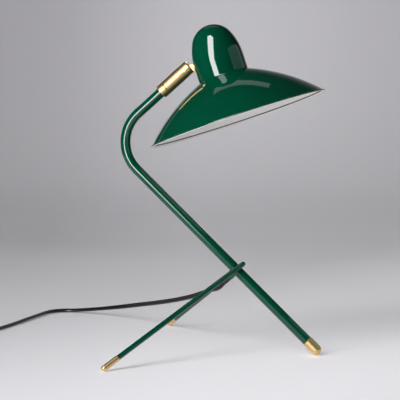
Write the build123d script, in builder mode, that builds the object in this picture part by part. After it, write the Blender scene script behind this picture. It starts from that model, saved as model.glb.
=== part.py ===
"""Table lamp: bent-tube stand, hairpin leg, brass swivel joint and a tilting bowler-shaped shade.

Frame: millimetres, +Z up, the table top is z = 0, the lamp's middle plane is y = 0 and +X is the way
the shade throws its light. The origin is on the table, under the middle of the lamp's own box.
"""
import math
import os

from build123d import *

os.makedirs("parts", exist_ok=True)

# General fits
overrun = 2.0
press_clearance = 0.02
running_clearance = 0.05
seat_clearance = 0.1

# Stand tube: one bend between a lower run, which ends in the main foot, and an upper run
tube_diameter = 13.0
tube_wall = 1.2
lower_run_length = 380.0
lower_run_angle = 43.8
upper_run_length = 100.2
upper_run_angle = 41.2
bend_radius = 49.0

# Main foot: turned brass plug with a ball end
foot_step = 0.5
foot_length = 22.5
foot_spigot_length = 14.0
foot_flat_depth = 0.25
foot_edge_chamfer = 0.4

# Hairpin leg: one bent rod that hooks round the tube, with a turned brass foot on each end
rod_diameter = 6.5
leg_crossing = 143.4
leg_slope = 38.5
leg_spread = 306.4
leg_loop_radius = 7.0
leg_side_clearance = 0.1
leg_foot_wall = 0.35
leg_foot_length = 25.0
leg_foot_end_length = 6.0
leg_foot_flat_depth = 0.2
leg_foot_chamfer = 0.15

# Cord outlet: a stub on the tube between the legs, turned towards the back, and its strain relief
outlet_turn = 28.0
boss_diameter = 10.4
boss_reach = 14.5
boss_bore = 7.8
relief_root = 2.0
relief_head_diameter = 9.6
relief_head_thickness = 1.8
relief_shoulder_diameter = 8.4
relief_tip_diameter = 6.6
relief_reach = 30.0
relief_groove_count = 3
relief_groove_width = 1.3
relief_groove_depth = 0.7

# Swivel: collar and spindle on the tube's upper end
barrel_diameter = 18.0
collar_tube_depth = 4.5
collar_chamfer = 0.5
spindle_plug_length = 16.0
collar_rim = 1.4
spindle_flange_thickness = 4.7
spindle_diameter = 11.0
spindle_length = 18.0
spindle_chamfer = 0.6
groove_position = 9.0
groove_width = 3.0
groove_depth = 1.2
swivel_angle = 150.0
flex_diameter = 5.0
flex_clearance = 0.2
flex_hold_length = 8.0

# Barrel: turns on the spindle and carries the tilt pivot in its slotted end
barrel_gap = 0.3
barrel_length = 40.3
barrel_chamfer = 0.8
barrel_bore_end_gap = 1.0
chamber_diameter = 7.0
pivot_inset = 8.0
pin_diameter = 4.0
washer_thickness = 0.4
washer_diameter = 9.0
slot_end_clearance = 0.5
screw_diameter = 3.0
screw_tip_diameter = 2.4
screw_recess = 0.5
screw_socket_width = 1.5
screw_socket_depth = 1.2

# Tongue: flat eye on the pivot pin, round neck, hollow threaded stud through the dome's wall
tongue_thickness = 5.6
tongue_width = 8.4
eye_radius = 5.0
neck_clearance = 0.56
neck_length = 0.8
neck_diameter = 10.0
stud_diameter = 8.0
wire_mouth = 9.0
stud_end_gap = 0.6

# Shade: spun shell, a wide brim under a tall dome, with a rolled edge
shade_tilt = 18.7
rim_radius = 116.5
brim_bulge = 5.6
dome_radius = 32.3
dome_height = 125.0
crown_rise = 46.6
crown_share = 0.87
shade_wall = 0.9
crease_radius = 1.6
rim_bead_diameter = 2.0

# Lampholder and bracket inside the dome, hung from the stud
dome_headroom = 22.9
bracket_rise = 21.5
stud_rise = 23.4
spacer_diameter = 14.0
spacer_length = 5.2
bracket_thickness = 1.5
bracket_width = 14.0
bracket_bend_radius = 3.0
bracket_tail = 9.55
bracket_overhang = 9.0
stud_nut_width = 13.0
stud_nut_thickness = 4.5
nipple_diameter = 10.0
nipple_bore = 7.0
nipple_drop = 8.0
nipple_nut_width = 14.0
nipple_nut_thickness = 3.0
nipple_end = 1.0
holder_diameter = 26.8
holder_wall = 1.4
holder_cap_skirt = 7.3
holder_cap_crown = 5.0
holder_cap_top_diameter = 16.0
holder_cap_top_wall = 3.0
holder_body_length = 14.0
holder_spigot_length = 4.0
holder_lip_step = 1.1
holder_lip_length = 3.0
insert_thickness = 2.0
contact_diameter = 4.0
contact_height = 0.9
shade_flex_diameter = 4.2
shade_flex_grip = 4.0
holder_flex_depth = 1.0

# Bulb: small screw cap and a round opal glass
base_diameter = 13.5
base_length = 17.5
base_cone_length = 3.0
base_cone_diameter = 7.0
base_tip_diameter = 4.6
base_tip_height = 1.2
bulb_diameter = 45.0
bulb_ball_drop = 25.5
bulb_neck_diameter = 13.0
bulb_neck_length = 1.5
bulb_flare_angle = 48.0
bulb_flare_sag = 1.2
bulb_wall = 0.9

# Cord, and what is on it
cord_diameter = 5.8
arc_share = 0.45
cord_end_run = 17.0
link_end_run = 16.0
switch_centre = (-353.0, -42.5)
switch_heading = -98.0
switch_length = 64.0
switch_width = 22.0
switch_middle_length = 34.0
switch_end_width = 9.5
switch_end_length = 2.0
switch_split_height = 6.0
switch_cover_height = 8.0
switch_edge_radius = 2.0
rocker_length = 14.4
rocker_width = 9.6
rocker_rise = 3.4
rocker_valley = 1.8
rocker_drop = 2.2
rocker_angle = 7.0
rocker_pin_diameter = 2.4
rocker_pin_length = 1.0
rocker_side_gap = 0.4
rocker_end_gap = 0.8
rocker_floor_gap = 1.3
rocker_pivot_depth = 2.4
switch_screw_spacing = 44.0
switch_screw_diameter = 2.5
switch_screw_head_diameter = 4.8
switch_screw_head_height = 1.6
switch_screw_recess = 0.5
switch_screw_grip = 3.0
coil_centre = (-401.5, -128.0)
coil_turns_in = 2.5
coil_turns_out = 2.5
coil_inner_radius = 24.0
coil_gap = 0.7
coil_start_angle = 0.0
knots_per_turn = 4
tie_thickness = 1.2
tie_width = 8.0
tie_clearance = 0.7
tie_corner_radius = 3.0
tie_angle = 45.0
plug_centre_line = -446.0
plug_rear = -60.0
plug_length = 36.0
plug_width = 35.3
plug_thickness = 13.7
plug_rear_width = 15.0
plug_shoulder_share = 0.45
plug_edge_radius = 2.2
plug_corner_radius = 3.0
plug_relief_length = 16.0
plug_relief_root_diameter = 10.5
plug_relief_tip_diameter = 7.0
plug_pin_spacing = 18.6
plug_pin_diameter = 4.0
plug_pin_length = 19.0

# Free route of the cord from the strain relief to the switch, on the table from the ninth point on
lead_route = [
    (-22.0, 37.5, 72.6),
    (-48.0, 65.0, 61.4),
    (-79.0, 96.0, 48.6),
    (-114.0, 130.0, 36.8),
    (-150.0, 163.0, 27.0),
    (-186.0, 191.5, 17.8),
    (-222.0, 212.0, 10.2),
    (-258.0, 224.0, 4.6),
    (-281.0, 228.0, 2.95),
    (-294.3, 225.4, 2.95),
    (-305.4, 217.6, 2.95),
    (-312.6, 206.0, 2.95),
    (-316.4, 182.2, 2.95),
    (-318.5, 150.0, 2.95),
    (-321.5, 114.0, 2.95),
    (-328.0, 78.0, 2.95),
    (-338.2, 33.0, 3.2),
]


def tilted(angle):
    """Unit vector in the lamp's middle plane, at an angle above +X."""
    return Vector(math.cos(math.radians(angle)), 0, math.sin(math.radians(angle)))


def lamp_plane(origin, axis):
    """Sketch plane in the lamp's middle plane: local y runs along the axis, local x square to it."""
    return Plane(origin=origin, x_dir=(axis.Z, 0, -axis.X), z_dir=(0, -1, 0))


def axial_plane(origin, axis):
    """Sketch plane through any axis that is not upright: local y runs along the axis."""
    across = axis.cross(Vector(0, 0, 1)).normalized()
    return Plane(origin=origin, x_dir=axis.cross(across), z_dir=across)


def write(piece, name):
    """Label a finished piece and write it under its own name."""
    piece.part.label = name
    export_step(piece.part, f"parts/{name}.step")


# Main lines of the lamp, worked out from the bend's corner
lower_up = Vector(-math.cos(math.radians(lower_run_angle)), 0, math.sin(math.radians(lower_run_angle)))
upper_up = tilted(upper_run_angle)
shade_across = tilted(shade_tilt)
shade_up = tilted(shade_tilt + 90)
middle = Vector(0, 1, 0)

tube_radius = tube_diameter / 2
tube_bore_radius = tube_radius - tube_wall
foot_diameter = tube_diameter + 2 * foot_step
barrel_radius = barrel_diameter / 2
neck_start = math.hypot(pivot_inset, barrel_radius) + neck_clearance
neck_reach = neck_start + neck_length
collar_end = spindle_flange_thickness
pivot_run = upper_run_length + collar_end + barrel_gap + barrel_length - pivot_inset
shade_axis_reach = neck_reach + dome_radius
rim_bead_radius = rim_bead_diameter / 2
rim_edge_radius = rim_radius - rim_bead_radius
dome_wall_height = dome_height - crown_rise
bracket_height = dome_height - dome_headroom
stud_height = bracket_height - bracket_rise
brim_height = stud_height - stud_rise

half_bend = math.radians((lower_run_angle + upper_run_angle) / 2)
bend_lean = math.radians((upper_run_angle - lower_run_angle) / 2)
left_reach = bend_radius / math.sin(half_bend) * math.cos(bend_lean) - bend_radius - tube_radius
pivot_from_corner = upper_up * pivot_run
rim_from_corner = pivot_from_corner + shade_across * shade_axis_reach - shade_up * stud_height
right_reach = rim_from_corner.X + rim_edge_radius * shade_across.X + rim_bead_radius
foot_height = foot_diameter / 2 - foot_flat_depth
corner_height = foot_height + lower_run_length * lower_up.Z
corner = Vector(-(left_reach + right_reach) / 2, 0, corner_height)

foot_centre = corner - lower_up * lower_run_length
tube_foot_end = foot_centre + lower_up * (foot_length - foot_diameter / 2)
tube_top = corner + upper_up * upper_run_length
crossing = foot_centre + lower_up * leg_crossing
pivot = corner + pivot_from_corner
rim_centre = corner + rim_from_corner
stud_axis_point = rim_centre + shade_up * stud_height

# Where the cord leaves the tube: square to the lower run, between the legs
outlet_level = lower_up.cross(middle)
outlet_dir = outlet_level * math.cos(math.radians(outlet_turn)) + middle * math.sin(math.radians(outlet_turn))
outlet_plane = Plane(origin=crossing, z_dir=outlet_dir)
relief_tip = crossing + outlet_dir * relief_reach


# Stand tube
with BuildPart() as stand_tube:
    with BuildLine() as tube_line:
        FilletPolyline(tube_foot_end, corner, tube_top, radius=bend_radius)
    with BuildSketch(Plane(origin=tube_foot_end, z_dir=lower_up)):
        Circle(tube_radius)
        Circle(tube_bore_radius, mode=Mode.SUBTRACT)
    sweep()
    with BuildSketch(outlet_plane):
        Circle(boss_bore / 2)
    extrude(amount=tube_diameter, mode=Mode.SUBTRACT)
write(stand_tube, "stand_tube")


# Main foot
foot_radius = foot_diameter / 2
foot_shoulder = foot_length - foot_radius
foot_spigot_radius = tube_bore_radius - press_clearance
with BuildPart() as foot_main:
    with BuildSketch(lamp_plane(foot_centre, lower_up)):
        with BuildLine():
            CenterArc((0, 0), foot_radius, -90, 90)
            Polyline(
                (foot_radius, 0),
                (foot_radius, foot_shoulder - foot_edge_chamfer),
                (foot_radius - foot_edge_chamfer, foot_shoulder),
                (foot_spigot_radius, foot_shoulder),
                (foot_spigot_radius, foot_shoulder + foot_spigot_length - foot_edge_chamfer),
                (foot_spigot_radius - foot_edge_chamfer, foot_shoulder + foot_spigot_length),
                (0, foot_shoulder + foot_spigot_length),
                (0, -foot_radius),
            )
        make_face()
    revolve(axis=Axis(foot_centre, lower_up))
    split(bisect_by=Plane.XY, keep=Keep.TOP)
write(foot_main, "foot_main")


# Hairpin leg, in a plane that leans back from the feet to the tube
leg_up = tilted(leg_slope)
rod_radius = rod_diameter / 2
leg_foot_radius = rod_radius + leg_foot_wall
leg_run = (crossing.Z - (leg_foot_radius - leg_foot_flat_depth)) / leg_up.Z
leg_side = tube_radius + rod_radius + leg_side_clearance
leg_length = math.hypot(leg_run, leg_spread / 2)
leg_half_angle = math.atan2(leg_spread / 2, leg_run) - math.asin(leg_side / leg_length)
leg_corner = crossing + leg_up * (leg_side / math.sin(leg_half_angle))
leg_foot_centres = {
    "foot_front": crossing - leg_up * leg_run - middle * (leg_spread / 2),
    "foot_back": crossing - leg_up * leg_run + middle * (leg_spread / 2),
}
rod_ends = []
for centre in leg_foot_centres.values():
    rod_ends.append(centre + (leg_corner - centre).normalized() * leg_foot_end_length)
with BuildPart() as hairpin_leg:
    with BuildLine() as rod_line:
        FilletPolyline(rod_ends[0], leg_corner, rod_ends[1], radius=leg_loop_radius)
    with BuildSketch(Plane(origin=rod_ends[0], z_dir=leg_corner - rod_ends[0])):
        Circle(rod_radius)
    sweep()
write(hairpin_leg, "hairpin_leg")


# Feet of the hairpin leg: drilled brass caps with ball ends
leg_foot_bore_radius = rod_radius + press_clearance
leg_foot_top = leg_foot_length - leg_foot_radius
for name, centre in leg_foot_centres.items():
    leg_axis = (leg_corner - centre).normalized()
    with BuildPart() as leg_foot:
        with BuildSketch(axial_plane(centre, leg_axis)):
            with BuildLine():
                CenterArc((0, 0), leg_foot_radius, -90, 90)
                Polyline(
                    (leg_foot_radius, 0),
                    (leg_foot_radius, leg_foot_top - leg_foot_chamfer),
                    (leg_foot_radius - leg_foot_chamfer, leg_foot_top),
                    (leg_foot_bore_radius, leg_foot_top),
                    (leg_foot_bore_radius, leg_foot_end_length),
                    (0, leg_foot_end_length),
                    (0, -leg_foot_radius),
                )
            make_face()
        revolve(axis=Axis(centre, leg_axis))
        split(bisect_by=Plane.XY, keep=Keep.TOP)
    write(leg_foot, name)


# Stub for the cord, saddled on the tube
with BuildPart() as cord_boss:
    with BuildSketch(outlet_plane):
        Circle(boss_diameter / 2)
        Circle(boss_bore / 2, mode=Mode.SUBTRACT)
    extrude(amount=boss_reach)
    with BuildSketch(Plane(origin=crossing, z_dir=lower_up)):
        Circle(tube_radius + press_clearance)
    extrude(amount=boss_diameter, both=True, mode=Mode.SUBTRACT)
write(cord_boss, "cord_boss")


# Strain relief: stem in the stub, head on its end, tapered sleeve with ring grooves
relief_stem_radius = boss_bore / 2 - running_clearance
relief_head_end = boss_reach + relief_head_thickness
relief_sleeve_length = relief_reach - relief_head_end
relief_groove_pitch = relief_sleeve_length / (relief_groove_count + 1)
with BuildPart() as strain_relief:
    with BuildSketch(axial_plane(crossing, outlet_dir)) as relief_profile:
        with BuildLine():
            Polyline(
                (0, -relief_root),
                (relief_stem_radius, -relief_root),
                (relief_stem_radius, boss_reach),
                (relief_head_diameter / 2, boss_reach),
                (relief_head_diameter / 2, relief_head_end),
                (relief_shoulder_diameter / 2, relief_head_end),
                (relief_tip_diameter / 2, relief_reach),
                (0, relief_reach),
                close=True,
            )
        make_face()
        for index in range(relief_groove_count):
            groove_share = (index + 1) / (relief_groove_count + 1)
            taper = (relief_shoulder_diameter - relief_tip_diameter) / 2 * groove_share
            surface = relief_shoulder_diameter / 2 - taper
            with Locations((surface, relief_head_end + relief_groove_pitch * (index + 1))):
                Rectangle(relief_groove_depth * 2, relief_groove_width, mode=Mode.SUBTRACT)
    revolve(axis=Axis(crossing, outlet_dir))
write(strain_relief, "strain_relief")


# Lead inside the tube, from the strain relief up into the spindle
flex_bottom = crossing + lower_up * (relief_stem_radius + seat_clearance)
flex_top = tube_top - upper_up * (spindle_plug_length - flex_hold_length)
with BuildPart() as tube_flex:
    with BuildLine():
        FilletPolyline(flex_bottom, corner, flex_top, radius=bend_radius)
    with BuildSketch(Plane(origin=flex_bottom, z_dir=lower_up)):
        Circle(flex_diameter / 2)
    sweep()
write(tube_flex, "tube_flex")


# Collar over the tube's end
flange_radius = barrel_radius - collar_rim
with BuildPart() as swivel_collar:
    with BuildSketch(lamp_plane(tube_top, upper_up)):
        with BuildLine():
            Polyline(
                (tube_radius + press_clearance, -collar_tube_depth),
                (barrel_radius - collar_chamfer, -collar_tube_depth),
                (barrel_radius, -collar_tube_depth + collar_chamfer),
                (barrel_radius, collar_end - collar_chamfer),
                (barrel_radius - collar_chamfer, collar_end),
                (flange_radius + press_clearance, collar_end),
                (flange_radius + press_clearance, 0),
                (tube_radius + press_clearance, 0),
                close=True,
            )
        make_face()
    revolve(axis=Axis(tube_top, upper_up))
write(swivel_collar, "swivel_collar")


# Spindle: plug in the tube, flange on its end, journal with a stopped groove
spindle_radius = spindle_diameter / 2
wire_bore = flex_diameter + 2 * flex_clearance
plug_radius = tube_bore_radius - press_clearance
spindle_end = spindle_flange_thickness + spindle_length
groove_point = tube_top + upper_up * (spindle_flange_thickness + groove_position)
screw_tip_radius = screw_tip_diameter / 2
screw_tip_start = spindle_radius - groove_depth + seat_clearance
groove_end_angle = math.degrees(math.asin((screw_tip_radius + seat_clearance) / screw_tip_start))
groove_arc = 2 * (swivel_angle + groove_end_angle)
groove_start = middle.rotate(Axis((0, 0, 0), upper_up), -groove_arc / 2)
with BuildPart() as swivel_spindle:
    with BuildSketch(lamp_plane(tube_top, upper_up)):
        with BuildLine():
            Polyline(
                (wire_bore / 2, -spindle_plug_length),
                (plug_radius, -spindle_plug_length),
                (plug_radius, 0),
                (flange_radius, 0),
                (flange_radius, spindle_flange_thickness),
                (spindle_radius, spindle_flange_thickness),
                (spindle_radius, spindle_end - spindle_chamfer),
                (spindle_radius - spindle_chamfer, spindle_end),
                (wire_bore / 2, spindle_end),
                close=True,
            )
        make_face()
    revolve(axis=Axis(tube_top, upper_up))
    with BuildSketch(Plane(origin=groove_point, x_dir=groove_start, z_dir=groove_start.cross(upper_up))):
        with Locations((spindle_radius, 0)):
            Rectangle(groove_depth * 2, groove_width)
    revolve(axis=Axis(groove_point, upper_up), revolution_arc=groove_arc, mode=Mode.SUBTRACT)
write(swivel_spindle, "swivel_spindle")


# Barrel: sleeve that turns on the spindle, with a slotted end for the tongue
barrel_base = tube_top + upper_up * (collar_end + barrel_gap)
barrel_bore_radius = spindle_radius + running_clearance
barrel_bore_depth = spindle_length - barrel_gap + barrel_bore_end_gap
slot_bottom = barrel_length - pivot_inset - eye_radius - slot_end_clearance
slot_width = tongue_thickness + 2 * washer_thickness + 4 * running_clearance
slot_depth = barrel_length - slot_bottom
pin_radius = pin_diameter / 2
screw_radius = screw_diameter / 2
with BuildPart() as barrel:
    with BuildSketch(lamp_plane(barrel_base, upper_up)):
        with BuildLine():
            Polyline(
                (barrel_bore_radius, 0),
                (barrel_radius - collar_chamfer, 0),
                (barrel_radius, collar_chamfer),
                (barrel_radius, barrel_length - barrel_chamfer),
                (barrel_radius - barrel_chamfer, barrel_length),
                (chamber_diameter / 2, barrel_length),
                (chamber_diameter / 2, barrel_bore_depth),
                (barrel_bore_radius, barrel_bore_depth),
                close=True,
            )
        make_face()
    revolve(axis=Axis(barrel_base, upper_up))
    with BuildSketch(lamp_plane(barrel_base, upper_up)):
        with Locations((0, slot_bottom + slot_depth)):
            Rectangle(barrel_diameter + 2 * overrun, 2 * slot_depth)
    extrude(amount=slot_width / 2, both=True, mode=Mode.SUBTRACT)
    with BuildSketch(Plane(origin=pivot, z_dir=middle)):
        Circle(pin_radius + press_clearance)
    extrude(amount=barrel_diameter, both=True, mode=Mode.SUBTRACT)
    with BuildSketch(Plane(origin=groove_point, z_dir=middle)):
        Circle(screw_radius + press_clearance)
    extrude(amount=barrel_diameter, mode=Mode.SUBTRACT)
write(barrel, "barrel")


# Retaining screw: grub screw in the barrel's back, its tip in the spindle's groove
screw_body_start = barrel_bore_radius + seat_clearance
screw_end = barrel_radius - screw_recess
with BuildPart() as retaining_screw:
    with BuildSketch(Plane(origin=groove_point + middle * screw_tip_start, z_dir=middle)):
        Circle(screw_tip_radius)
    extrude(amount=screw_end - screw_tip_start)
    with BuildSketch(Plane(origin=groove_point + middle * screw_body_start, z_dir=middle)):
        Circle(screw_radius)
    extrude(amount=screw_end - screw_body_start)
    with BuildSketch(Plane(origin=groove_point + middle * screw_end, z_dir=middle)):
        RegularPolygon(screw_socket_width / 2, 6, major_radius=False)
    extrude(amount=-screw_socket_depth, mode=Mode.SUBTRACT)
write(retaining_screw, "retaining_screw")


# Pivot pin across the barrel's cheeks, dressed flush with them
pin_half_length = math.sqrt(barrel_radius**2 - pin_radius**2) - running_clearance
with BuildPart() as pivot_pin:
    with BuildSketch(Plane(origin=pivot, z_dir=middle)):
        Circle(pin_radius)
    extrude(amount=pin_half_length, both=True)
write(pivot_pin, "pivot_pin")


# Friction washers between the tongue and the cheeks
with BuildPart() as friction_washers:
    for side in (-1, 1):
        washer_start = tongue_thickness / 2 + running_clearance
        with BuildSketch(Plane(origin=pivot + middle * (side * washer_start), z_dir=middle * side)):
            Circle(washer_diameter / 2)
            Circle(pin_radius + running_clearance, mode=Mode.SUBTRACT)
        extrude(amount=washer_thickness)
write(friction_washers, "friction_washers")


# Lines of the dome, for the shade and for the pieces that sit on its wall
shade_plane = lamp_plane(rim_centre, shade_up)
shade_axis = Axis(rim_centre, shade_up)

# The crown is two tangent arcs: one that goes on from the dome's wall and a smaller one over the top
crown_radius = dome_radius * crown_share
crown_centre = Vector(0, dome_height - crown_radius)
crown_step = crown_centre.Y - dome_wall_height
wall_arc_radius = (dome_radius**2 - crown_radius**2 + crown_step**2) / (2 * (dome_radius - crown_radius))
wall_arc_centre = Vector(dome_radius - wall_arc_radius, dome_wall_height)
crown_turn = math.degrees(math.atan2(crown_step, -wall_arc_centre.X))


def dome_outline(wall):
    """Lines of the dome from its wall to its top, moved in by a wall."""
    CenterArc(wall_arc_centre, wall_arc_radius - wall, 0, crown_turn)
    CenterArc(crown_centre, crown_radius - wall, crown_turn, 90 - crown_turn)


def dome_core(wall):
    """Solid that fills the dome above the brim, moved in by a wall."""
    with BuildPart() as core:
        with BuildSketch(shade_plane):
            with BuildLine():
                Line((dome_radius - wall, brim_height), (dome_radius - wall, dome_wall_height))
                dome_outline(wall)
                Polyline((0, dome_height - wall), (0, brim_height), (dome_radius - wall, brim_height))
            make_face()
        revolve(axis=shade_axis)
    return core.part


neck_saddle = dome_core(-press_clearance)
spacer_saddle = dome_core(shade_wall + running_clearance)


# Tongue: eye, flat, saddled neck and hollow stud
bracket_reach = dome_radius - shade_wall - spacer_length
bracket_face = shade_axis_reach - bracket_reach
stud_bore = shade_flex_diameter + 2 * flex_clearance
stud_end = bracket_face + bracket_thickness + stud_nut_thickness + stud_end_gap
tongue_plane = Plane(origin=pivot, x_dir=shade_across, z_dir=(0, -1, 0))
with BuildPart() as tongue:
    with BuildSketch(tongue_plane):
        Circle(eye_radius)
        with Locations((neck_start / 2, 0)):
            Rectangle(neck_start, tongue_width)
    extrude(amount=tongue_thickness / 2, both=True)
    with BuildSketch(Plane(origin=pivot + shade_across * neck_start, z_dir=shade_across)):
        Circle(neck_diameter / 2)
    extrude(amount=neck_reach - neck_start + shade_wall)
    add(neck_saddle, mode=Mode.SUBTRACT)
    with BuildSketch(Plane(origin=pivot + shade_across * neck_start, z_dir=shade_across)):
        Circle(stud_diameter / 2)
    extrude(amount=stud_end - neck_start)
    with BuildSketch(Plane(origin=pivot + shade_across * wire_mouth, z_dir=shade_across)):
        Circle(stud_bore / 2)
    extrude(amount=stud_end, mode=Mode.SUBTRACT)
    with BuildSketch(Plane(origin=pivot + shade_across * wire_mouth, z_dir=-shade_up)):
        Circle(stud_bore / 2)
    extrude(amount=tongue_width, mode=Mode.SUBTRACT)
    with BuildSketch(Plane(origin=pivot, z_dir=middle)):
        Circle(pin_radius + running_clearance)
    extrude(amount=tongue_thickness, both=True, mode=Mode.SUBTRACT)
write(tongue, "tongue")


# Shade: spun shell turned about its own axis
brim_chord = Vector(dome_radius - rim_edge_radius, brim_height)
brim_radius = brim_chord.length**2 / (8 * brim_bulge) + brim_bulge / 2
chord_normal = Vector(-brim_chord.Y, brim_chord.X).normalized()
brim_middle = Vector(rim_edge_radius, 0) + brim_chord / 2
brim_centre = brim_middle + chord_normal * (brim_radius - brim_bulge)
inner_brim_radius = brim_radius - shade_wall
inner_dome_radius = dome_radius - shade_wall


def brim_point(radius, across):
    """Point of a brim surface of a given radius at a distance across from the shade's axis."""
    return Vector(across, brim_centre.Y + math.sqrt(radius**2 - (across - brim_centre.X) ** 2))


inner_rim_across = brim_centre.X + (rim_edge_radius - brim_centre.X) * inner_brim_radius / brim_radius
brim_waist = (rim_edge_radius + dome_radius) / 2

with BuildPart() as shade:
    with BuildSketch(shade_plane) as shade_profile:
        with BuildLine():
            ThreePointArc(
                (rim_edge_radius, 0), brim_point(brim_radius, brim_waist), (dome_radius, brim_height)
            )
            Line((dome_radius, brim_height), (dome_radius, dome_wall_height))
            dome_outline(0)
            Line((0, dome_height), (0, dome_height - shade_wall))
            dome_outline(shade_wall)
            inner_crease = brim_point(inner_brim_radius, inner_dome_radius)
            Line((inner_dome_radius, dome_wall_height), inner_crease)
            inner_rim = brim_point(inner_brim_radius, inner_rim_across)
            ThreePointArc(inner_crease, brim_point(inner_brim_radius, brim_waist), inner_rim)
            Line(inner_rim, (rim_edge_radius, 0))
        make_face()
        creases = shade_profile.vertices().filter_by_position(
            Axis.Y, inner_crease.Y - shade_wall, brim_height + shade_wall
        )
        fillet(creases, crease_radius)
        with Locations((rim_edge_radius, 0)):
            Circle(rim_bead_radius)
    revolve(axis=shade_axis)
    with BuildSketch(Plane(origin=stud_axis_point, z_dir=-shade_across)):
        Circle(stud_diameter / 2 + seat_clearance)
    extrude(amount=dome_radius + overrun, mode=Mode.SUBTRACT)
write(shade, "shade")


# Spacer between the dome's wall and the bracket
with BuildPart() as stud_spacer:
    with BuildSketch(Plane(origin=stud_axis_point - shade_across * bracket_reach, z_dir=-shade_across)):
        Circle(spacer_diameter / 2)
        Circle(stud_diameter / 2 + running_clearance, mode=Mode.SUBTRACT)
    extrude(amount=dome_radius - bracket_reach)
    add(spacer_saddle, mode=Mode.INTERSECT)
write(stud_spacer, "stud_spacer")


# Bracket: bent strip that hangs the lampholder on the shade's axis
bracket_wall_line = -(bracket_reach - bracket_thickness / 2)
bracket_top_line = bracket_height + bracket_thickness / 2
bracket_end = stud_height - bracket_tail
with BuildPart() as holder_bracket:
    with BuildSketch(shade_plane):
        with BuildLine():
            FilletPolyline(
                (bracket_wall_line, bracket_end),
                (bracket_wall_line, bracket_top_line),
                (bracket_overhang, bracket_top_line),
                radius=bracket_bend_radius,
            )
        trace(line_width=bracket_thickness)
    extrude(amount=bracket_width / 2, both=True)
    with BuildSketch(Plane(origin=stud_axis_point, z_dir=-shade_across)):
        Circle(stud_diameter / 2 + running_clearance)
    extrude(amount=dome_radius, mode=Mode.SUBTRACT)
    with BuildSketch(Plane(origin=rim_centre + shade_up * stud_height, z_dir=shade_up)):
        Circle(nipple_diameter / 2 + running_clearance)
    extrude(amount=bracket_rise + bracket_thickness + overrun, mode=Mode.SUBTRACT)
write(holder_bracket, "holder_bracket")


# Nut on the stud
nut_face = stud_axis_point - shade_across * (bracket_reach - bracket_thickness)
with BuildPart() as stud_nut:
    with BuildSketch(Plane(origin=nut_face, z_dir=shade_across)):
        RegularPolygon(stud_nut_width / 2, 6, major_radius=False)
        Circle(stud_diameter / 2 + press_clearance, mode=Mode.SUBTRACT)
    extrude(amount=stud_nut_thickness)
write(stud_nut, "stud_nut")


# Nipple and lock nut that hold the lampholder to the bracket
bracket_top = bracket_height + bracket_thickness
nipple_base = rim_centre + shade_up * (bracket_height - nipple_drop)
nipple_length = nipple_drop + bracket_thickness + nipple_nut_thickness + nipple_end
with BuildPart() as holder_nipple:
    with BuildSketch(Plane(origin=nipple_base, z_dir=shade_up)):
        Circle(nipple_diameter / 2)
        Circle(nipple_bore / 2, mode=Mode.SUBTRACT)
    extrude(amount=nipple_length)
write(holder_nipple, "holder_nipple")

with BuildPart() as nipple_nut:
    with BuildSketch(Plane(origin=rim_centre + shade_up * bracket_top, z_dir=shade_up)):
        RegularPolygon(nipple_nut_width / 2, 6, major_radius=False)
        Circle(nipple_diameter / 2 + press_clearance, mode=Mode.SUBTRACT)
    extrude(amount=nipple_nut_thickness)
write(nipple_nut, "nipple_nut")


# Lampholder cap: crowned cup with the nipple's hole on top and the lead's hole in its side
holder_radius = holder_diameter / 2
holder_inner_radius = holder_radius - holder_wall
cap_bottom = stud_height - holder_cap_skirt
with BuildPart() as lampholder_cap:
    with BuildSketch(shade_plane):
        with BuildLine():
            Polyline(
                (nipple_diameter / 2 + press_clearance, bracket_height),
                (holder_cap_top_diameter / 2, bracket_height),
                (holder_radius, bracket_height - holder_cap_crown),
                (holder_radius, cap_bottom),
                (holder_inner_radius, cap_bottom),
                (holder_inner_radius, bracket_height - holder_cap_crown - holder_cap_top_wall),
                (nipple_diameter / 2 + press_clearance, bracket_height - holder_cap_top_wall),
                close=True,
            )
        make_face()
    revolve(axis=shade_axis)
    with BuildSketch(Plane(origin=stud_axis_point, z_dir=-shade_across)):
        Circle(shade_flex_diameter / 2 + seat_clearance)
    extrude(amount=holder_diameter, mode=Mode.SUBTRACT)
write(lampholder_cap, "lampholder_cap")


# Lampholder body: screwed into the cap, with a lip round its mouth
body_bottom = cap_bottom - holder_body_length
spigot_top = cap_bottom + holder_spigot_length
spigot_radius = holder_inner_radius - press_clearance
base_bore_radius = base_diameter / 2 + seat_clearance
holder_lip_radius = holder_radius + holder_lip_step
with BuildPart() as lampholder_body:
    with BuildSketch(shade_plane):
        with BuildLine():
            Polyline(
                (base_bore_radius, body_bottom),
                (holder_lip_radius, body_bottom),
                (holder_lip_radius, body_bottom + holder_lip_length),
                (holder_radius, body_bottom + holder_lip_length),
                (holder_radius, cap_bottom),
                (spigot_radius, cap_bottom),
                (spigot_radius, spigot_top),
                (base_bore_radius, spigot_top),
                close=True,
            )
        make_face()
    revolve(axis=shade_axis)
write(lampholder_body, "lampholder_body")


# Contact carrier on the body's spigot, and the centre contact under it
with BuildPart() as lampholder_insert:
    with BuildSketch(Plane(origin=rim_centre + shade_up * spigot_top, z_dir=shade_up)):
        Circle(spigot_radius)
    extrude(amount=insert_thickness)
write(lampholder_insert, "lampholder_insert")

with BuildPart() as centre_contact:
    with BuildSketch(Plane(origin=rim_centre + shade_up * spigot_top, z_dir=-shade_up)):
        Circle(contact_diameter / 2)
    extrude(amount=contact_height)
write(centre_contact, "centre_contact")


# Lead from the stud's end into the side of the lampholder cap
shade_flex_start = pivot + shade_across * (stud_end - shade_flex_grip)
shade_flex_end = stud_axis_point - shade_across * (holder_radius - holder_flex_depth)
with BuildPart() as shade_flex:
    with BuildSketch(Plane(origin=shade_flex_start, z_dir=shade_across)):
        Circle(shade_flex_diameter / 2)
    extrude(amount=(shade_flex_end - shade_flex_start).length)
write(shade_flex, "shade_flex")


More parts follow.
